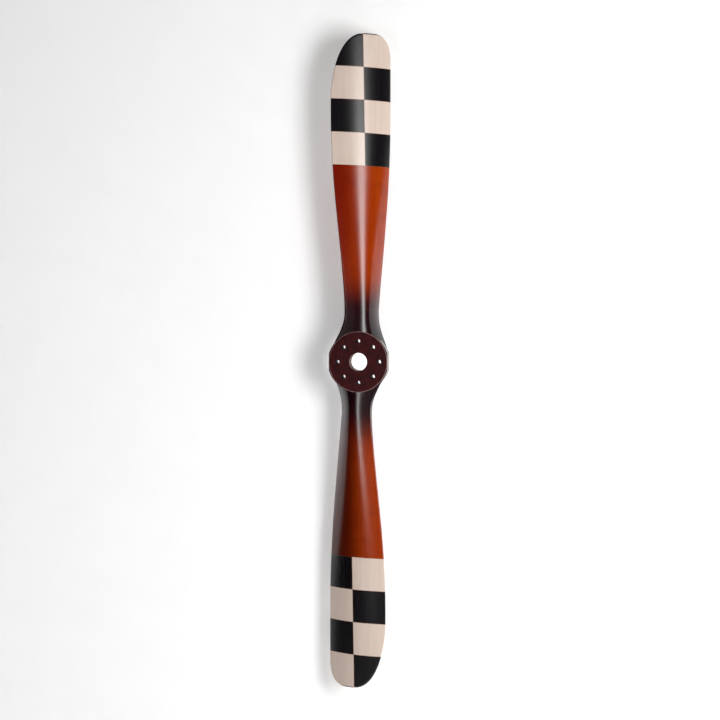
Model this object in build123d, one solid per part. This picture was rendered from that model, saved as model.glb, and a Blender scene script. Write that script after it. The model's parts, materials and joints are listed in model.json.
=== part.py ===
from build123d import *
import math
import os

# Two-blade decorative wooden propeller, carved from a blank of boards glued face to face.
#
# Frame: the shaft axis is the Y axis and the blades point along +Z and -Z. The front of the hub
# faces -Y. The origin is on the shaft axis, halfway through the hub.
# The upper blade has its leading edge at -X and its trailing edge at +X. The lower blade is the
# upper one turned half a turn about the shaft axis.

# ---- driving dimensions, millimetres ----
TIP_RADIUS = 615.0           # shaft axis to blade tip

# blank
BLANK_DEPTH = 50.0           # all the glued boards together, front to rear
BOARD_COUNT = 7

# hub
HUB_RADIUS = 57.0
HUB_SIDE_FLAT = 2.0          # what the blank's two edges take off the round hub
FACING_THICKNESS = 2.0       # thin oval disc glued to each face of the hub
FACING_EDGE = 0.6            # broken outer edge of a facing

# shaft bore and hub bolts
BORE_DIAMETER = 34.0
BOLT_COUNT = 8
BOLT_CIRCLE = 78.0
BOLT_HOLE_DIAMETER = 8.0

# blade outline, from the blade's axis to its leading and its trailing edge
BLADE_START = 4.0            # the first section of a blade, just off the shaft axis
FLARE_PAST = 0.5             # the flare to the hub aims this far past the blank's two sides
ROOT_RADIUS = 97.0           # the narrowest place of the blade
ROOT_LEAD = 25.6
ROOT_TRAIL = 35.2
BLADE_LEAD = 51.5            # at the widest place
BLADE_TRAIL = 57.4
TIP_APEX = 13.0              # the tip's furthest point lies this far to the trailing side
TIP_MARGIN = 1.0             # the tip's curves start this far outside the blade's two edges
LEAD_SWEEP = 150.0           # length over which the leading edge curves in to the tip
TRAIL_SWEEP = 75.0

# blade section
BLADE_STEP = 1.0             # the carved blade lies this far under each face of the blank
EDGE_THICKNESS = 3.0
ROOT_FADE = 150.0            # distance over which the thick root section turns into the thin one

# ---- shape of the curves, plain numbers ----
LEAD_SWELL = 1.5             # powers of the sine along which the blade widens
TRAIL_SWELL = 1.1
LEAD_FLARE = 1.22            # powers of the flare from the root to the hub
TRAIL_FLARE = 1.4
LEAD_TIP_POWER = 2.3         # powers of the two superellipses of the tip
TRAIL_TIP_POWER = 3.3
ROOT_FRONT_POWER = 5.5       # how flat the front starts at the leading edge, thick root section
TIP_FRONT_POWER = 2.3
ROOT_REAR_POWER = 3.0
TIP_REAR_POWER = 1.5
SECTION_POINTS = 10          # points along one side of a section
TIP_POINTS = 10              # points along each curve of the tip
FLARE_RIBS = 8               # sections from the hub to the root, along the blade, and in the tip
SPAN_RIBS = 12
TIP_RIBS = 3

# ---- worked out ----
BOARD_THICKNESS = BLANK_DEPTH / BOARD_COUNT
HUB_HALF_WIDTH = HUB_RADIUS - HUB_SIDE_FLAT
SHOULDER_RADIUS = TIP_RADIUS - LEAD_SWEEP
OVERSHOOT = 20.0             # tools and ribs run this far past what they cut
FRONT_PLANE = BLADE_STEP - BLANK_DEPTH / 2.0
CARVED_DEPTH = BLANK_DEPTH - 2.0 * BLADE_STEP - EDGE_THICKNESS


def reach(radius, root, widest, swell, flare):
    """Distance from the blade's axis to one of its edges, this far out from the shaft."""
    if radius < ROOT_RADIUS:
        share = 0.5 + 0.5 * math.cos(math.pi * radius / ROOT_RADIUS)
        return root + (HUB_HALF_WIDTH + FLARE_PAST - root) * share**flare
    share = min(1.0, (radius - ROOT_RADIUS) / (SHOULDER_RADIUS - ROOT_RADIUS))
    return root + (widest - root) * math.sin(share * math.pi / 2.0) ** swell


def lead(radius):
    return reach(radius, ROOT_LEAD, BLADE_LEAD, LEAD_SWELL, LEAD_FLARE)


def trail(radius):
    return reach(radius, ROOT_TRAIL, BLADE_TRAIL, TRAIL_SWELL, TRAIL_FLARE)


def thinness(radius):
    """0 where the section is the thick one of the root, towards 1 at the tip."""
    return 1.0 - math.exp(-max(0.0, radius - ROOT_RADIUS) / ROOT_FADE)


def front_depth(across, thin):
    """Depth of the front surface, across = 0 at the leading edge and 1 at the trailing edge."""
    power = ROOT_FRONT_POWER + thin * (TIP_FRONT_POWER - ROOT_FRONT_POWER)
    return FRONT_PLANE + CARVED_DEPTH * across**power


def rear_depth(across, thin):
    full = 1.0 - (1.0 - across) ** ROOT_REAR_POWER
    drop = (1.0 - thin) * full + thin * across**TIP_REAR_POWER
    return FRONT_PLANE + EDGE_THICKNESS + CARVED_DEPTH * drop


def rib(radius):
    """Cross-section of the upper blade, square to the blade's axis."""
    start = -lead(radius)
    width = lead(radius) + trail(radius)
    thin = thinness(radius)
    steps = [i / (SECTION_POINTS - 1) for i in range(SECTION_POINTS)]
    front = [(start + width * t, front_depth(t, thin)) for t in steps]
    rear = [(start + width * t, rear_depth(t, thin)) for t in steps]
    outline = Spline(*front) + Line(front[-1], rear[-1])
    outline += Spline(*reversed(rear)) + Line(rear[0], front[0])
    return Pos(0, 0, radius) * make_face(outline)


def spread(first, last, count):
    return [first + (last - first) * i / count for i in range(count + 1)]


def rib_stations():
    """Close together where the root flares into the hub, further apart along the blade."""
    flare = spread(BLADE_START, ROOT_RADIUS, FLARE_RIBS)
    span = spread(ROOT_RADIUS, SHOULDER_RADIUS, SPAN_RIBS)
    tip = spread(SHOULDER_RADIUS, TIP_RADIUS + OVERSHOOT, TIP_RIBS)
    return flare[:-1] + span[:-1] + tip


def superellipse(start_x, start_z, power):
    """Quarter curve from a side of the blade to the tip's furthest point."""
    points = []
    for i in range(TIP_POINTS + 1):
        angle = i / TIP_POINTS * math.pi / 2.0
        x = TIP_APEX + (start_x - TIP_APEX) * max(0.0, math.cos(angle)) ** (2.0 / power)
        z = start_z + (TIP_RADIUS - start_z) * math.sin(angle) ** (2.0 / power)
        points.append((x, z))
    return points


def tip_outline():
    """Everything inside the outline of the upper blade's tip, all through the blank's depth."""
    left = superellipse(-BLADE_LEAD - TIP_MARGIN, SHOULDER_RADIUS, LEAD_TIP_POWER)
    right = superellipse(BLADE_TRAIL + TIP_MARGIN, TIP_RADIUS - TRAIL_SWEEP, TRAIL_TIP_POWER)
    wide = BLADE_TRAIL + OVERSHOOT
    base = [right[0], (wide, right[0][1]), (wide, 0), (-wide, 0), (-wide, left[0][1]), left[0]]
    outline = Spline(*left) + Spline(*reversed(right)) + Polyline(*base)
    return extrude(Plane.XZ * make_face(outline), BLANK_DEPTH, both=True)


def blade():
    return loft([rib(radius) for radius in rib_stations()], ruled=True) & tip_outline()


def disc(radius, thickness):
    """Round plate on the shaft axis, centred on the origin."""
    return Rot(90, 0, 0) * Cylinder(radius, thickness)


def flatten_sides(hub):
    """Cut the hub's two sides back to the width of the blank."""
    for side in (-1, 1):
        place = Pos(side * (HUB_HALF_WIDTH + OVERSHOOT / 2.0), 0, 0)
        hub -= place * Box(OVERSHOOT, 2.0 * BLANK_DEPTH, 2.0 * HUB_RADIUS)
    return hub


def drill(hub, depth):
    """Shaft bore and bolt holes, the first bolt hole on the upper blade's axis."""
    hub -= disc(BORE_DIAMETER / 2.0, 2.0 * depth)
    for i in range(BOLT_COUNT):
        turn = Rot(0, 360.0 * i / BOLT_COUNT, 0)
        hub -= turn * Pos(0, 0, BOLT_CIRCLE / 2.0) * disc(BOLT_HOLE_DIAMETER / 2.0, 2.0 * depth)
    return hub


def carved_blank():
    """The whole carved propeller before it is parted into its boards."""
    upper = blade()
    lower = Rot(0, 180, 0) * upper
    hub = disc(HUB_RADIUS, BLANK_DEPTH) + upper + lower
    return drill(flatten_sides(hub), BLANK_DEPTH)


def board(carved, number):
    """One board of the blank, number 1 at the front."""
    middle = -BLANK_DEPTH / 2.0 + BOARD_THICKNESS * (number - 0.5)
    size = 2.0 * (TIP_RADIUS + OVERSHOOT)
    return carved & Pos(0, middle, 0) * Box(size, BOARD_THICKNESS, size)


def facing(side):
    """Thin oval disc on the hub's front face, side = -1, or on its rear face, side = 1."""
    oval = Plane.XZ * Ellipse(HUB_HALF_WIDTH, HUB_RADIUS)
    plate = extrude(oval, FACING_THICKNESS / 2.0, both=True)
    outer = plate.faces().sort_by(Axis.Y)[-1 if side > 0 else 0]
    plate = chamfer(outer.edges(), FACING_EDGE)
    plate = drill(plate, FACING_THICKNESS)
    return Pos(0, side * (BLANK_DEPTH + FACING_THICKNESS) / 2.0, 0) * plate


def board_name(number):
    if number == 1:
        return "board_1_front"
    if number == BOARD_COUNT:
        return f"board_{number}_rear"
    return f"board_{number}"


os.makedirs("parts", exist_ok=True)
carved = carved_blank()
for number in range(1, BOARD_COUNT + 1):
    export_step(board(carved, number), f"parts/{board_name(number)}.step")
export_step(facing(-1), "parts/front_hub_facing.step")
export_step(facing(1), "parts/rear_hub_facing.step")
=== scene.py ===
import json
import math

import bmesh
import bpy
import numpy as np
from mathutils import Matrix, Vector
from mathutils.kdtree import KDTree


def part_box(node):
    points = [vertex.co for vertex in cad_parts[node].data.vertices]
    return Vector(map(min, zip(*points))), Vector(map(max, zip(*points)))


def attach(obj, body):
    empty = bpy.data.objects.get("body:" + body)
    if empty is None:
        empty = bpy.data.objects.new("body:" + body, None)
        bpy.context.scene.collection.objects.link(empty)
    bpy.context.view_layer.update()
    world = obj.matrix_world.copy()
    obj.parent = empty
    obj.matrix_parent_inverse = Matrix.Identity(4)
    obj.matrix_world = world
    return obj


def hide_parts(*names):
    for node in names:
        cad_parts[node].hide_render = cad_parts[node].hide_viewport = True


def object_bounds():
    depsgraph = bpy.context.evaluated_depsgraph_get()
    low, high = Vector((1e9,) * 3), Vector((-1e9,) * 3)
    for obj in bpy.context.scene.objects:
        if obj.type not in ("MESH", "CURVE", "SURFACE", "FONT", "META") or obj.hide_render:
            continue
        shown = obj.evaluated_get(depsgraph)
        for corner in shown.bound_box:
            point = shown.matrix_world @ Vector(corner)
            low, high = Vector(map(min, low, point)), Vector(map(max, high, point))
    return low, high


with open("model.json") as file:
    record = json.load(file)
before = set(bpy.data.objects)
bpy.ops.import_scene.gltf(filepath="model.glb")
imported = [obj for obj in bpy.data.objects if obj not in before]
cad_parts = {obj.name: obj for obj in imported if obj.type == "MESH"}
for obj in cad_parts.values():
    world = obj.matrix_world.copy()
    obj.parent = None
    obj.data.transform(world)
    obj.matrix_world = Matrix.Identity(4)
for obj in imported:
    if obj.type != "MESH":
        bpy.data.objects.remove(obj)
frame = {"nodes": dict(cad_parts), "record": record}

CAD_LOW, CAD_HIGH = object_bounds()
MM = 0.001

# ---- places and sizes from the frame, metres ----
MOUNTS = {mount["name"]: mount for mount in frame["record"]["mounts"]}
BOARDS = sorted(name for name in frame["nodes"] if name.startswith("board_"))
FACINGS = ["front_hub_facing", "rear_hub_facing"]
TIP_RADIUS = CAD_HIGH.z
BLANK_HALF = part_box(BOARDS[-1])[1].y
HUB_HALF_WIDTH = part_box(FACINGS[0])[1].x
HUB_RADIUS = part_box(FACINGS[0])[1].z
BORE_RADIUS = MOUNTS["bore"]["dims"]["r_mm"] * MM
BOLT_RADIUS = MOUNTS["hub_bolts"]["dims"]["hole_r_mm"] * MM
BOLT_CIRCLE_RADIUS = MOUNTS["hub_bolts"]["dims"]["pcd_mm"] * MM / 2
BOLT_COUNT = MOUNTS["hub_bolts"]["dims"]["count"]

# ---- shape of the carved blade, the same curves as the CAD model's ----
ROOT_RADIUS = 97 * MM        # where the blade is narrowest
ROOT_LEAD, ROOT_TRAIL = 25.6 * MM, 35.2 * MM         # reach of the two edges there
BLADE_LEAD, BLADE_TRAIL = 51.5 * MM, 57.4 * MM       # and where the blade is widest
LEAD_SWELL, TRAIL_SWELL = 1.5, 1.1                   # powers of the widening outwards
LEAD_FLARE, TRAIL_FLARE = 1.22, 1.4                  # powers of the widening into the hub
FLARE_PAST = 0.5 * MM        # how far the flare runs past the hub's flat sides
TIP_APEX = 13 * MM           # x of the blade's furthest point
TIP_MARGIN = 1 * MM          # the tip's curves start this far outside the edges
LEAD_SWEEP, TRAIL_SWEEP = 150 * MM, 75 * MM          # length of the tip's two curves
LEAD_TIP_POWER, TRAIL_TIP_POWER = 2.3, 3.3           # their superellipse powers
BLADE_STEP = 1 * MM          # the blades stay this far inside the blank's faces
EDGE_THICKNESS = 3 * MM
ROOT_FADE = 150 * MM         # how slowly the root's section turns into the tip's
ROOT_FRONT_POWER, TIP_FRONT_POWER = 5.5, 2.3
ROOT_REAR_POWER, TIP_REAR_POWER = 3.0, 1.5
SHOULDER_RADIUS = TIP_RADIUS - LEAD_SWEEP
BLADE_START = 4 * MM         # each blade's mesh begins here, inside the hub
FRONT_PLANE = BLADE_STEP - BLANK_HALF
CARVED_DEPTH = 2 * (BLANK_HALF - BLADE_STEP) - EDGE_THICKNESS

# ---- mesh detail ----
STATIONS = 260               # along one blade
ACROSS = 72                  # quads from edge to edge
NOSE_SHARE = 0.6             # rounding of an edge, as a share of the thickness there
NOSE_MIN, NOSE_MAX = 1.5 * MM, 3.5 * MM
TIP_CROWD = 2.6              # how strongly the stations crowd together at the tip
OUTLINE_POINTS = 6000        # points of the outline that edge distances are measured to
HUB_STEPS = 360
HOLE_STEPS = 64
CREASE = math.radians(35)
FACING_ROUND = 1.0 * MM
ROUND_SEGMENTS = 4
HOLE_SKIN = 0.25 * MM        # a face this near to a hole's wall belongs to the hole
RIM_SHARE = 0.985            # a facing's rim begins at this share of its outline
MERGE = 0.001 * MM           # points closer than this are one point
SAW_SNAP = 0.001 * MM

# ---- painted tip, sunburst and painted shade on the wood ----
CHECK_START = 366.7 * MM     # where the paint begins, on the line between the two columns
CHECK_ROW = 61.5 * MM
CHECK_COLUMN = 12.5 * MM     # the line between the columns, at the start of the paint
CHECK_LEAN = -0.016          # how that line leans towards the blade's axis
CHECK_SLOPE = 0.04           # how the rows slope down towards the trailing edge
CHECK_JOINT = 0.9 * MM       # half the width of the worn line between squares
CHECK_JOINT_WEAR = 0.55
SUNBURST_DARK, SUNBURST_LIGHT = 62 * MM, 212 * MM    # from dark stain to clear wood
SUNBURST_RAGGED = 30 * MM    # how far the clouds in the wood push that to and fro
PAINTED_SHADE_DARK, PAINTED_SHADE_CLEAR = -30 * MM, 24 * MM            # painted shade: the wood darkens to this side, away from the key light
PAINTED_SHADE_SHIFT = 10 * MM         # the painted shade reaches less far across on the upper blade
PAINTED_SHADE_AMOUNT = 0.95

# ---- colours, 0 to 255 ----
WOOD_DEEP, WOOD_CLEAR = (154, 48, 2), (166, 57, 3)
WOOD_BAND, WOOD_CLOUD, WOOD_FIGURE = (180, 68, 6), (134, 35, 1), (112, 29, 1)
# colours of the painted shade: darker on the lower blade, which gets less light
PAINTED_SHADE_LOWER, PAINTED_SHADE_UPPER = (76, 15, 1), (124, 20, 1)
BURST_DARK, BURST_RED = (30, 8, 14), (92, 14, 12)
CREAM_DEEP, CREAM_PALE = (229, 208, 194), (233, 213, 199)
BLACK_DEEP, BLACK_PALE = (6, 3, 7), (9, 5, 10)
WORN_JOINT = (150, 92, 66)
STAIN_DEEP, STAIN_PALE = (46, 12, 15), (66, 19, 23)
STAIN_FIBRE, STAIN_SPECK = (36, 9, 12), (112, 62, 60)
BORE_DEEP, BORE_PALE = (100, 76, 60), (128, 100, 82)
# painted shade: the bolt holes' walls are near black, darker than the bore's raw wood
HOLE_SHADE_DEEP, HOLE_SHADE_PALE = (20, 12, 12), (34, 22, 20)
# painted highlight: the facings' rounded rims are coloured paler than their stained faces
RIM_HIGHLIGHT_DEEP, RIM_HIGHLIGHT_PALE = (120, 84, 82), (160, 124, 118)
PLASTER_DEEP, PLASTER_PALE = (239, 239, 239), (243, 243, 243)
BACKGROUND = (238, 239, 240)
WHITE = (255, 255, 255)

# ---- studio ----
WALL_GAP = 35 * MM
FLOOR_DROP = 0.35
ROOM_SIZE = 6.0
FLOOR_REACH = 1.7
WORLD_STRENGTH = 0.02
SOFTBOXES = {                # azimuth, elevation, distance, width, height, watts
    "key_core": (36, 2, 2.4, 0.7, 1.35, 30),
    "key_body": (36, 2, 2.4, 1.2, 1.35, 16),
    "key_edge": (36, 2, 2.4, 1.8, 1.35, 5),
    "fill": (-16, -4, 2.6, 0.36, 0.6, 6),
}
WALL_GLOW = 0.33             # the wall's own light, like a lamp on the background
BORE_GLOW = 0.9              # extra light on the wall behind the hub, seen through its holes
BORE_GLOW_INNER, BORE_GLOW_OUTER = 20 * MM, 75 * MM
BORE_GLOW_SHIFT = 5 * MM

# ---- camera ----
CAMERA_AZIMUTH = 5.0
CAMERA_ELEVATION = 1.5
CAMERA_DISTANCE = 4.1
CAMERA_LENS = 109.0
CAMERA_SENSOR = 36.0
CAMERA_AIM = (0.0015, 0.0, 0.0030)


def reach(radius, root, widest, swell, flare):
    """Distance from the blade's axis to one of its edges before the tip is cut."""
    inner = 0.5 + 0.5 * np.cos(np.clip(radius / ROOT_RADIUS, 0, 1) * math.pi)
    outer = np.clip((radius - ROOT_RADIUS) / (SHOULDER_RADIUS - ROOT_RADIUS), 0, 1)
    flared = root + (HUB_HALF_WIDTH + FLARE_PAST - root) * inner**flare
    swollen = root + (widest - root) * np.sin(outer * math.pi / 2) ** swell
    return np.where(radius < ROOT_RADIUS, flared, swollen)


def lead(radius):
    return reach(radius, ROOT_LEAD, BLADE_LEAD, LEAD_SWELL, LEAD_FLARE)


def trail(radius):
    return reach(radius, ROOT_TRAIL, BLADE_TRAIL, TRAIL_SWELL, TRAIL_FLARE)


def tip_curve(radius, side, sweep, power):
    """The tip's superellipse on one side, x against radius; side is its x where it starts."""
    share = np.clip((radius - (TIP_RADIUS - sweep)) / sweep, 0, 1)
    return TIP_APEX + (side - TIP_APEX) * (1 - share**power) ** (1 / power)


def outline(radius):
    """x of the finished blade's two edges."""
    left_tip = tip_curve(radius, -BLADE_LEAD - TIP_MARGIN, LEAD_SWEEP, LEAD_TIP_POWER)
    right_tip = tip_curve(radius, BLADE_TRAIL + TIP_MARGIN, TRAIL_SWEEP, TRAIL_TIP_POWER)
    left = np.where(radius > SHOULDER_RADIUS, np.maximum(left_tip, -lead(radius)), -lead(radius))
    cut = radius > TIP_RADIUS - TRAIL_SWEEP
    right = np.where(cut, np.minimum(right_tip, trail(radius)), trail(radius))
    width_left = np.where(radius < HUB_RADIUS, np.maximum(left, -HUB_HALF_WIDTH), left)
    width_right = np.where(radius < HUB_RADIUS, np.minimum(right, HUB_HALF_WIDTH), right)
    return width_left, width_right


def depths(x, radius):
    """Depth of the front and of the rear surface under a point of the outline."""
    across = np.clip((x + lead(radius)) / (lead(radius) + trail(radius)), 0, 1)
    thin = 1 - np.exp(-np.maximum(0, radius - ROOT_RADIUS) / ROOT_FADE)
    front = across ** (ROOT_FRONT_POWER + thin * (TIP_FRONT_POWER - ROOT_FRONT_POWER))
    full = 1 - (1 - across) ** ROOT_REAR_POWER
    rear = (1 - thin) * full + thin * across**TIP_REAR_POWER
    return FRONT_PLANE + CARVED_DEPTH * front, FRONT_PLANE + EDGE_THICKNESS + CARVED_DEPTH * rear


def edge_distance(x, radius):
    """How far each point is from the blade's outline, in the plane of the outline."""
    along = TIP_RADIUS - (TIP_RADIUS - BLADE_START) * np.linspace(1, 0, OUTLINE_POINTS) ** TIP_CROWD
    left, right = outline(along)
    points = [(a, b) for a, b in zip(np.r_[left, right], np.r_[along, along])]
    tree = KDTree(len(points))
    for i, (a, b) in enumerate(points):
        tree.insert((a, b, 0), i)
    tree.balance()
    found = [tree.find((a, b, 0))[2] for a, b in zip(x.ravel(), radius.ravel())]
    return np.array(found).reshape(x.shape)


def new_object(name, vertices, faces):
    mesh = bpy.data.meshes.new(name)
    mesh.from_pydata(vertices, [], faces)
    mesh.update()
    piece = bpy.data.objects.new(name, mesh)
    bpy.context.scene.collection.objects.link(piece)
    return piece


def blade_mesh(turn):
    """One carved blade as a closed mesh: a front and a rear sheet that meet at the rounded edge."""
    t = np.linspace(0, 1, STATIONS + 1)
    crowded = 1 - (1 - t) ** TIP_CROWD
    radius = BLADE_START + (TIP_RADIUS - BLADE_START) * (crowded + t) / 2
    radius[-1] = TIP_RADIUS
    left, right = outline(radius)
    share = 0.5 - 0.5 * np.cos(np.linspace(0, math.pi, ACROSS + 1))
    x = left[:, None] + (right - left)[:, None] * share[None, :]
    z = np.repeat(radius[:, None], ACROSS + 1, axis=1)
    front, rear = depths(x, z)
    middle = (front + rear) / 2
    half = (rear - front) / 2
    nose = np.clip(2 * half * NOSE_SHARE, NOSE_MIN, NOSE_MAX)
    away = edge_distance(x, z)
    away[:, 0] = 0
    away[:, -1] = 0
    half = half * np.sqrt(1 - (1 - np.clip(away / nose, 0, 1)) ** 2)
    vertices = []
    index = {}
    for sheet, y in (("front", middle - half), ("rear", middle + half)):
        for i in range(STATIONS + 1):
            for j in range(ACROSS + 1):
                if i == STATIONS:
                    key = "apex"
                elif j in (0, ACROSS):
                    key = (i, j)
                else:
                    key = (sheet, i, j)
                if key not in index:
                    index[key] = len(vertices)
                    vertices.append((turn * x[i, j], y[i, j], turn * z[i, j]))
                index[sheet, i, j] = index[key]
    faces = []
    for sheet in ("front", "rear"):
        for i in range(STATIONS):
            for j in range(ACROSS):
                corners = [(i, j), (i, j + 1), (i + 1, j + 1), (i + 1, j)]
                if sheet == "rear":
                    corners.reverse()
                face = list(dict.fromkeys(index[sheet, a, b] for a, b in corners))
                if len(face) > 2:
                    faces.append(face)
    cap = [index["rear", 0, j] for j in range(ACROSS + 1)]
    cap += [index["front", 0, j] for j in range(ACROSS - 1, 0, -1)]
    faces.append(cap)
    return new_object("blade", vertices, faces)


def circle(radius, steps, centre=(0, 0)):
    turns = [2 * math.pi * i / steps for i in range(steps)]
    return [(centre[0] + radius * math.cos(a), centre[1] + radius * math.sin(a)) for a in turns]


def prism(name, loop, low, high):
    """Straight prism along Y on a closed loop of x and z."""
    count = len(loop)
    vertices = [(x, low, z) for x, z in loop] + [(x, high, z) for x, z in loop]
    faces = [list(range(count)), list(range(2 * count - 1, count - 1, -1))]
    for i in range(count):
        j = (i + 1) % count
        faces.append([i, i + count, j + count, j])
    return new_object(name, vertices, faces)


def hub_loop():
    """Round outline of the hub with its two flat sides."""
    return [(max(-HUB_HALF_WIDTH, min(HUB_HALF_WIDTH, x)), z)
            for x, z in circle(HUB_RADIUS, HUB_STEPS)]


def facing_loop():
    """Oval outline of a facing, as wide as the blank."""
    return [(x * HUB_HALF_WIDTH / HUB_RADIUS, z) for x, z in circle(HUB_RADIUS, HUB_STEPS)]


def hole_centres():
    return [(BOLT_CIRCLE_RADIUS * math.sin(a), BOLT_CIRCLE_RADIUS * math.cos(a))
            for a in (2 * math.pi * i / BOLT_COUNT for i in range(BOLT_COUNT))]


def hole_tools():
    """The shaft bore and the bolt holes as one set of separate prisms."""
    low, high = 2 * CAD_LOW.y, 2 * CAD_HIGH.y
    tools = [prism("tool", circle(BORE_RADIUS, 2 * HOLE_STEPS), low, high)]
    for centre in hole_centres():
        tools.append(prism("tool", circle(BOLT_RADIUS, HOLE_STEPS, centre), low, high))
    return tools


def consistent(piece):
    bm = bmesh.new()
    bm.from_mesh(piece.data)
    bmesh.ops.recalc_face_normals(bm, faces=bm.faces)
    bm.to_mesh(piece.data)
    bm.free()


def combine(piece, other, operation):
    """Boolean of two pieces, kept in the first; the second goes."""
    consistent(other)
    modifier = piece.modifiers.new("join", "BOOLEAN")
    modifier.operation = operation
    modifier.solver = "EXACT"
    modifier.object = other
    graph = bpy.context.evaluated_depsgraph_get()
    mesh = bpy.data.meshes.new_from_object(piece.evaluated_get(graph))
    piece.modifiers.clear()
    piece.data = mesh
    bpy.data.objects.remove(other)


def carved_whole():
    """The propeller before it is parted into boards."""
    whole = prism("whole", hub_loop(), -BLANK_HALF, BLANK_HALF)
    consistent(whole)
    combine(whole, blade_mesh(1), "UNION")
    combine(whole, blade_mesh(-1), "UNION")
    for tool in hole_tools():
        combine(whole, tool, "DIFFERENCE")
    return whole


def tidy_mesh(piece):
    """Flat triangles for the many-sided faces, smooth shading up to the crease angle."""
    bm = bmesh.new()
    bm.from_mesh(piece.data)
    bmesh.ops.remove_doubles(bm, verts=bm.verts, dist=MERGE)
    bmesh.ops.triangulate(bm, faces=[face for face in bm.faces if len(face.verts) > 4])
    bm.to_mesh(piece.data)
    bm.free()
    piece.data.shade_smooth()
    piece.data.set_sharp_from_angle(angle=CREASE)


def keep_normals(mesh):
    """Store the uncut skin's normals on the corners, so the boards' skins shade as one surface."""
    normals = np.zeros(len(mesh.loops) * 3, np.float32)
    mesh.corner_normals.foreach_get("vector", normals)
    mesh.attributes.new("skin", "FLOAT_VECTOR", "CORNER").data.foreach_set("vector", normals)


def use_kept_normals(mesh):
    """Skin corners take the stored normals; the sawn faces keep their own."""
    skin = np.zeros(len(mesh.loops) * 3, np.float32)
    mesh.attributes["skin"].data.foreach_get("vector", skin)
    skin = skin.reshape(-1, 3)
    for polygon in mesh.polygons:
        corners = slice(polygon.loop_start, polygon.loop_start + polygon.loop_total)
        if np.abs(skin[corners]).sum(axis=1).min() < 0.5:
            skin[corners] = polygon.normal
    skin /= np.linalg.norm(skin, axis=1)[:, None]
    mesh.attributes.remove(mesh.attributes["skin"])
    mesh.shade_smooth()
    mesh.normals_split_custom_set(skin.tolist())


def saw(bm, depth, keep):
    """Cut the solid at a depth, drop the side away from keep and close the cut."""
    everything = list(bm.verts) + list(bm.edges) + list(bm.faces)
    normal = Vector((0, -keep, 0))
    bmesh.ops.bisect_plane(bm, geom=everything, dist=SAW_SNAP, plane_co=(0, depth, 0),
                           plane_no=normal, clear_outer=True)
    rim = [edge for edge in bm.edges if edge.is_boundary]
    bmesh.ops.triangle_fill(bm, edges=rim, use_beauty=True, normal=normal)


def board_piece(whole, name):
    low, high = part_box(name)
    bm = bmesh.new()
    bm.from_mesh(whole.data)
    if low.y > -BLANK_HALF + SAW_SNAP:
        saw(bm, low.y, 1)
    if high.y < BLANK_HALF - SAW_SNAP:
        saw(bm, high.y, -1)
    mesh = bpy.data.meshes.new("wood_" + name)
    bm.to_mesh(mesh)
    bm.free()
    use_kept_normals(mesh)
    piece = bpy.data.objects.new("wood_" + name, mesh)
    bpy.context.scene.collection.objects.link(piece)
    return piece


def facing_piece(name):
    """Thin hub disc with a rounded outer rim on its free face."""
    low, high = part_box(name)
    free = low.y if name.startswith("front") else high.y
    piece = prism("disc_" + name, facing_loop(), low.y, high.y)
    consistent(piece)
    bm = bmesh.new()
    bm.from_mesh(piece.data)
    rim = [edge for edge in bm.edges
           if all(abs(vertex.co.y - free) < SAW_SNAP for vertex in edge.verts)]
    bmesh.ops.bevel(bm, geom=rim, offset=FACING_ROUND, segments=ROUND_SEGMENTS,
                     profile=0.5, affect="EDGES")
    bm.to_mesh(piece.data)
    bm.free()
    for tool in hole_tools():
        combine(piece, tool, "DIFFERENCE")
    tidy_mesh(piece)
    return piece


def near_wall(polygon, centre, radius):
    """True for a face on the wall of the round hole with this centre and radius."""
    x, _, z = polygon.center
    off = math.hypot(x - centre[0], z - centre[1])
    return abs(polygon.normal.y) < 0.5 and off < radius + HOLE_SKIN


def on_rim(polygon):
    """True for a face on the bevelled outer edge of a facing."""
    x, _, z = polygon.center
    return math.hypot(x / HUB_HALF_WIDTH, z / HUB_RADIUS) > RIM_SHARE


def dress(piece, skin, bore, bolt_hole, rim=None):
    """Materials of the outside, the bore's wall, the bolt holes' walls and a facing's rim."""
    piece.data.materials.clear()
    for material in (skin, bore, bolt_hole, rim or skin):
        piece.data.materials.append(material)
    centres = hole_centres()
    for polygon in piece.data.polygons:
        if near_wall(polygon, (0, 0), BORE_RADIUS):
            polygon.material_index = 1
        elif any(near_wall(polygon, centre, BOLT_RADIUS) for centre in centres):
            polygon.material_index = 2
        elif rim and on_rim(polygon):
            polygon.material_index = 3


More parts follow.
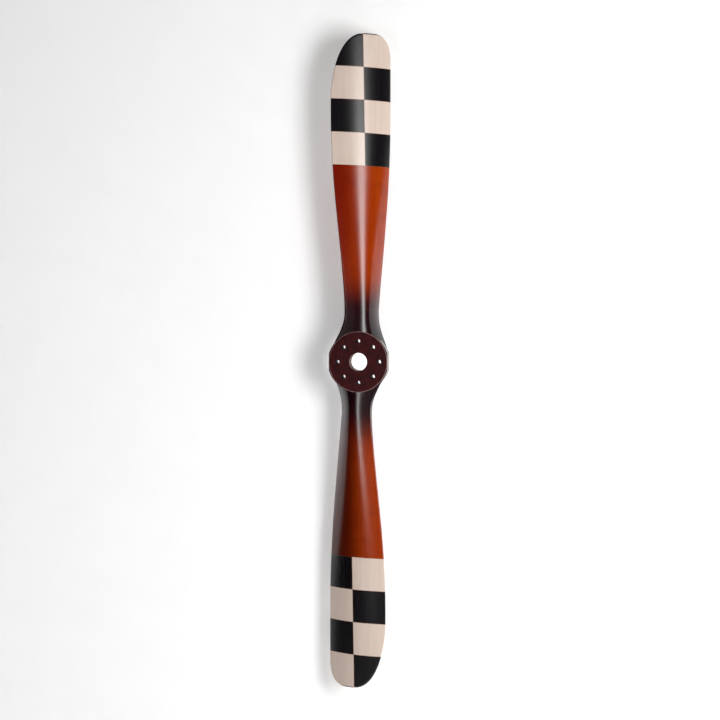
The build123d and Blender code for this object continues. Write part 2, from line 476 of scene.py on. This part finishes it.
# ---- materials ----
class Graph:
    """A material's nodes, written as short formulas on the object's own coordinates."""

    def __init__(self, name):
        self.material = bpy.data.materials.new(name)
        self.material.use_nodes = True
        self.tree = self.material.node_tree
        self.shader = self.tree.nodes["Principled BSDF"]
        self.coordinates = self.tree.nodes.new("ShaderNodeTexCoord").outputs["Object"]

    def put(self, socket, value):
        if isinstance(value, bpy.types.NodeSocket):
            self.tree.links.new(value, socket)
        elif value is not None:
            socket.default_value = value

    def math(self, operation, a, b=None, c=None):
        node = self.tree.nodes.new("ShaderNodeMath")
        node.operation = operation
        for socket, value in zip(node.inputs, (a, b, c)):
            self.put(socket, value)
        return node.outputs[0]

    def axes(self):
        node = self.tree.nodes.new("ShaderNodeSeparateXYZ")
        self.put(node.inputs[0], self.coordinates)
        return node.outputs

    def stretched(self, scale):
        node = self.tree.nodes.new("ShaderNodeMapping")
        self.put(node.inputs["Vector"], self.coordinates)
        node.inputs["Scale"].default_value = scale
        return node.outputs[0]

    def noise(self, vector, scale, detail=3.0, roughness=0.5, distortion=0.0):
        node = self.tree.nodes.new("ShaderNodeTexNoise")
        self.put(node.inputs["Vector"], vector)
        node.inputs["Scale"].default_value = scale
        node.inputs["Detail"].default_value = detail
        node.inputs["Roughness"].default_value = roughness
        node.inputs["Distortion"].default_value = distortion
        return node.outputs[0]

    def fade(self, value, start, end, low=0.0, high=1.0):
        node = self.tree.nodes.new("ShaderNodeMapRange")
        node.interpolation_type = "SMOOTHSTEP"
        for socket, number in zip(node.inputs, (value, start, end, low, high)):
            self.put(socket, number)
        return node.outputs[0]

    def mix(self, factor, a, b):
        node = self.tree.nodes.new("ShaderNodeMix")
        node.data_type = "RGBA"
        self.put(node.inputs[0], factor)
        self.put(node.inputs[6], a)
        self.put(node.inputs[7], b)
        return node.outputs[2]

    def bump(self, height, strength, distance, below=None):
        node = self.tree.nodes.new("ShaderNodeBump")
        node.inputs["Strength"].default_value = strength
        node.inputs["Distance"].default_value = distance
        self.put(node.inputs["Height"], height)
        if below is not None:
            self.put(node.inputs["Normal"], below)
        return node.outputs[0]

    def finish(self, **values):
        for name, value in values.items():
            self.put(self.shader.inputs[name.replace("_", " ")], value)
        return self.material


def srgb(colour):
    """Linear colour from the usual 0 to 255 numbers."""
    def linear(value):
        value /= 255
        return value / 12.92 if value <= 0.04045 else ((value + 0.055) / 1.055) ** 2.4
    red, green, blue = colour
    return (linear(red), linear(green), linear(blue), 1.0)


def blade_places(g):
    """Distance out along the blade and place across it, the same on both blades by half a turn."""
    x, _, z = g.axes()
    out = g.math("ABSOLUTE", z)
    side = g.math("SIGN", z)
    return out, g.math("MULTIPLY", x, side)


def check_masks(g, out, across):
    """1 on the painted tip, 1 on its black squares, and 1 on the thin joints between squares."""
    column_line = g.math("MULTIPLY_ADD", out, CHECK_LEAN, CHECK_COLUMN - CHECK_START * CHECK_LEAN)
    from_column = g.math("SUBTRACT", across, column_line)
    level = g.math("MULTIPLY_ADD", from_column, CHECK_SLOPE, out)
    rows = g.math("DIVIDE", g.math("SUBTRACT", level, CHECK_START), CHECK_ROW)
    painted = g.math("GREATER_THAN", rows, 0.0)
    row = g.math("FLOOR", rows)
    column = g.math("GREATER_THAN", from_column, 0.0)
    black = g.math("PINGPONG", g.math("ADD", row, column), 1.0)
    near_row = g.math("MULTIPLY", g.math("PINGPONG", rows, 0.5), CHECK_ROW)
    near_column = g.math("ABSOLUTE", from_column)
    nearest = g.math("MINIMUM", near_row, near_column)
    joint = g.math("MULTIPLY", painted, g.fade(nearest, 0.0, CHECK_JOINT, 1.0, 0.0))
    return painted, black, joint


def mahogany():
    """Lacquered wood, dark at the hub, under the painted tip squares."""
    g = Graph("lacquered_mahogany")
    out, across = blade_places(g)
    grain = g.noise(g.stretched((1.0, 1.0, 0.035)), 260, 5.0, 0.6, 0.4)
    bands = g.noise(g.stretched((1.0, 1.0, 0.06)), 30, 2.0, 0.5, 0.6)
    clouds = g.noise(g.coordinates, 14, 2.0)
    light = g.mix(g.fade(grain, 0.3, 0.7), srgb(WOOD_DEEP), srgb(WOOD_CLEAR))
    light = g.mix(g.fade(bands, 0.35, 0.7, 0.0, 0.3), light, srgb(WOOD_BAND))
    light = g.mix(g.fade(clouds, 0.4, 0.8, 0.0, 0.3), light, srgb(WOOD_CLOUD))
    figure = g.noise(g.stretched((1.0, 1.0, 1.8)), 26, 3.0, 0.6, 0.5)
    light = g.mix(g.fade(figure, 0.45, 0.75, 0.0, 0.28), light, srgb(WOOD_FIGURE))
    # painted shade: the wood's colour darkens towards -x, away from the key light, and more on the
    # lower blade
    x, _, z = g.axes()
    upper = g.math("GREATER_THAN", z, 0.0)
    shade_tone = g.mix(upper, srgb(PAINTED_SHADE_LOWER), srgb(PAINTED_SHADE_UPPER))
    place = g.math("MULTIPLY_ADD", upper, PAINTED_SHADE_SHIFT, x)
    light = g.mix(g.fade(place, PAINTED_SHADE_DARK, PAINTED_SHADE_CLEAR, PAINTED_SHADE_AMOUNT, 0.0), light, shade_tone)
    ragged = g.math("MULTIPLY_ADD", clouds, SUNBURST_RAGGED,
                    g.math("SUBTRACT", out, SUNBURST_RAGGED / 2))
    burst = g.fade(ragged, SUNBURST_DARK, SUNBURST_LIGHT)
    smoke = g.mix(burst, srgb(BURST_DARK), srgb(BURST_RED))
    wood = g.mix(g.fade(burst, 0.1, 0.95), smoke, light)
    painted, black, joint = check_masks(g, out, across)
    brush = g.noise(g.stretched((1.0, 1.0, 0.1)), 120, 4.0)
    cream = g.mix(g.fade(brush, 0.3, 0.7), srgb(CREAM_DEEP), srgb(CREAM_PALE))
    dark = g.mix(g.fade(brush, 0.3, 0.7), srgb(BLACK_DEEP), srgb(BLACK_PALE))
    paint = g.mix(black, cream, dark)
    paint = g.mix(g.math("MULTIPLY", joint, CHECK_JOINT_WEAR), paint, srgb(WORN_JOINT))
    colour = g.mix(painted, wood, paint)
    height = g.math("MULTIPLY_ADD", joint, -0.5, g.math("MULTIPLY", grain, 0.03))
    relief = g.bump(height, 0.25, 0.2 * MM)
    ripple = g.bump(g.noise(g.coordinates, 30, 1.0), 0.06, 1.2 * MM, relief)
    rough = g.fade(painted, 0.0, 1.0, 0.18, 0.26)
    rough = g.math("MULTIPLY_ADD", g.fade(grain, 0.3, 0.7), 0.015, rough)
    return g.finish(Base_Color=colour, Roughness=rough, Normal=ripple)


def hub_stain():
    """Matte stained end of the hub, with a few worn specks."""
    g = Graph("stained_hub_face")
    fibres = g.noise(g.stretched((1.0, 1.0, 0.12)), 420, 4.0)
    mottle = g.noise(g.coordinates, 90, 4.0, 0.6)
    specks = g.noise(g.coordinates, 900, 2.0)
    colour = g.mix(g.fade(mottle, 0.35, 0.7), srgb(STAIN_DEEP), srgb(STAIN_PALE))
    colour = g.mix(g.fade(fibres, 0.45, 0.75, 0.0, 0.35), colour, srgb(STAIN_FIBRE))
    colour = g.mix(g.fade(specks, 0.62, 0.72, 0.0, 0.25), colour, srgb(STAIN_SPECK))
    relief = g.bump(g.math("ADD", fibres, mottle), 0.35, 0.15 * MM)
    rough = g.fade(mottle, 0.3, 0.7, 0.58, 0.74)
    return g.finish(Base_Color=colour, Roughness=rough, Normal=relief, Specular_IOR_Level=0.1)


def plain_wood(name, dark, pale, low, high):
    """Unlacquered wood: fibres along the blade, between two tones and two roughnesses."""
    g = Graph(name)
    fibres = g.noise(g.stretched((1.0, 0.6, 0.15)), 500, 4.0)
    relief = g.bump(fibres, 0.4, 0.2 * MM)
    return g.finish(Base_Color=g.mix(g.fade(fibres, 0.3, 0.7), dark, pale), Normal=relief,
                    Roughness=g.fade(fibres, 0.2, 0.8, low, high))


def plaster(name):
    """Plain white with a faint texture."""
    g = Graph(name)
    grain = g.noise(g.coordinates, 40, 3.0)
    colour = g.mix(g.fade(grain, 0.3, 0.7), srgb(PLASTER_DEEP), srgb(PLASTER_PALE))
    g.finish(Base_Color=colour, Roughness=0.9, Specular_IOR_Level=0.0)
    return g


def lit_wall():
    """White wall with a light of its own; it can be looked through from behind."""
    g = plaster("wall_white")
    x, _, z = g.axes()
    x = g.math("ADD", x, BORE_GLOW_SHIFT)
    away = g.math("SQRT", g.math("ADD", g.math("MULTIPLY", x, x), g.math("MULTIPLY", z, z)))
    glow = g.fade(away, BORE_GLOW_INNER, BORE_GLOW_OUTER, WALL_GLOW + BORE_GLOW, WALL_GLOW)
    g.finish(Emission_Color=srgb(WHITE), Emission_Strength=glow)
    nodes = g.tree.nodes
    back = nodes.new("ShaderNodeNewGeometry").outputs["Backfacing"]
    clear = nodes.new("ShaderNodeBsdfTransparent").outputs[0]
    choose = nodes.new("ShaderNodeMixShader")
    g.put(choose.inputs[0], back)
    g.put(choose.inputs[1], g.shader.outputs[0])
    g.put(choose.inputs[2], clear)
    g.put(nodes["Material Output"].inputs["Surface"], choose.outputs[0])
    return g.material


def sheet_of(name, corners, material):
    piece = new_object(name, corners, [list(range(len(corners)))])
    piece.data.materials.append(material)


def bearing(azimuth, elevation):
    """Unit vector from the object; azimuth 0 is in front, positive to the right."""
    a, e = math.radians(azimuth), math.radians(elevation)
    return Vector((math.sin(a) * math.cos(e), -math.cos(a) * math.cos(e), math.sin(e)))


def softbox(name, azimuth, elevation, distance, width, height, watts):
    """Rectangular light that points at the hub."""
    lamp = bpy.data.lights.new(name, "AREA")
    lamp.shape = "RECTANGLE"
    lamp.size, lamp.size_y = width, height
    lamp.energy = watts
    place = bearing(azimuth, elevation) * distance
    rig = bpy.data.objects.new(name, lamp)
    rig.location = place
    rig.rotation_euler = (-place).to_track_quat("-Z", "Y").to_euler()
    bpy.context.scene.collection.objects.link(rig)


def surroundings():
    """Wall, floor, a world that is pale to look at but gives hardly any light, and the lamps."""
    wall_y = CAD_HIGH.y + WALL_GAP
    floor_z = CAD_LOW.z - FLOOR_DROP
    far, near = ROOM_SIZE, FLOOR_REACH
    wall = [(-far, wall_y, floor_z), (far, wall_y, floor_z), (far, wall_y, far),
            (-far, wall_y, far)]
    floor = [(-near, -near, floor_z), (near, -near, floor_z), (near, near, floor_z),
             (-near, near, floor_z)]
    sheet_of("wall", wall, lit_wall())
    sheet_of("floor", floor, plaster("floor_white").material)
    world = bpy.data.worlds.new("studio")
    world.use_nodes = True
    tree = world.node_tree
    dark = tree.nodes["Background"]
    dark.inputs["Strength"].default_value = WORLD_STRENGTH
    pale = tree.nodes.new("ShaderNodeBackground")
    pale.inputs["Color"].default_value = srgb(BACKGROUND)
    choose = tree.nodes.new("ShaderNodeMixShader")
    looked_at = tree.nodes.new("ShaderNodeLightPath").outputs["Is Camera Ray"]
    tree.links.new(looked_at, choose.inputs[0])
    tree.links.new(dark.outputs[0], choose.inputs[1])
    tree.links.new(pale.outputs[0], choose.inputs[2])
    tree.links.new(choose.outputs[0], tree.nodes["World Output"].inputs["Surface"])
    bpy.context.scene.world = world
    for name, values in SOFTBOXES.items():
        softbox(name, *values)


def camera():
    """Long lens from a little to the right and a little above the object."""
    lens = bpy.data.cameras.new("camera")
    lens.lens = CAMERA_LENS
    lens.sensor_width = CAMERA_SENSOR
    eye = bpy.data.objects.new("camera", lens)
    aim = Vector(CAMERA_AIM)
    eye.location = aim + bearing(CAMERA_AZIMUTH, CAMERA_ELEVATION) * CAMERA_DISTANCE
    eye.rotation_euler = (aim - eye.location).to_track_quat("-Z", "Y").to_euler()
    bpy.context.scene.collection.objects.link(eye)
    bpy.context.scene.camera = eye


def build():
    whole = carved_whole()
    tidy_mesh(whole)
    keep_normals(whole.data)
    wood, stain = mahogany(), hub_stain()
    bore = plain_wood("raw_wood", srgb(BORE_DEEP), srgb(BORE_PALE), 0.6, 0.8)
    # painted shade inside the narrow bolt holes
    bolt_hole = plain_wood("painted_shade_hole_wall", srgb(HOLE_SHADE_DEEP), srgb(HOLE_SHADE_PALE), 0.6, 0.8)
    # painted highlight on the facings' rounded rims
    rim = plain_wood("painted_rim_highlight", srgb(RIM_HIGHLIGHT_DEEP), srgb(RIM_HIGHLIGHT_PALE), 0.5, 0.7)
    for name in BOARDS:
        piece = board_piece(whole, name)
        dress(piece, wood, bore, bolt_hole)
        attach(piece, "root")
        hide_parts(name)
    bpy.data.objects.remove(whole)
    for name in FACINGS:
        piece = facing_piece(name)
        dress(piece, stain, bore, bolt_hole, rim)
        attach(piece, "root")
        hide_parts(name)


build()
surroundings()
camera()
bpy.context.scene.view_settings.view_transform = "Standard"
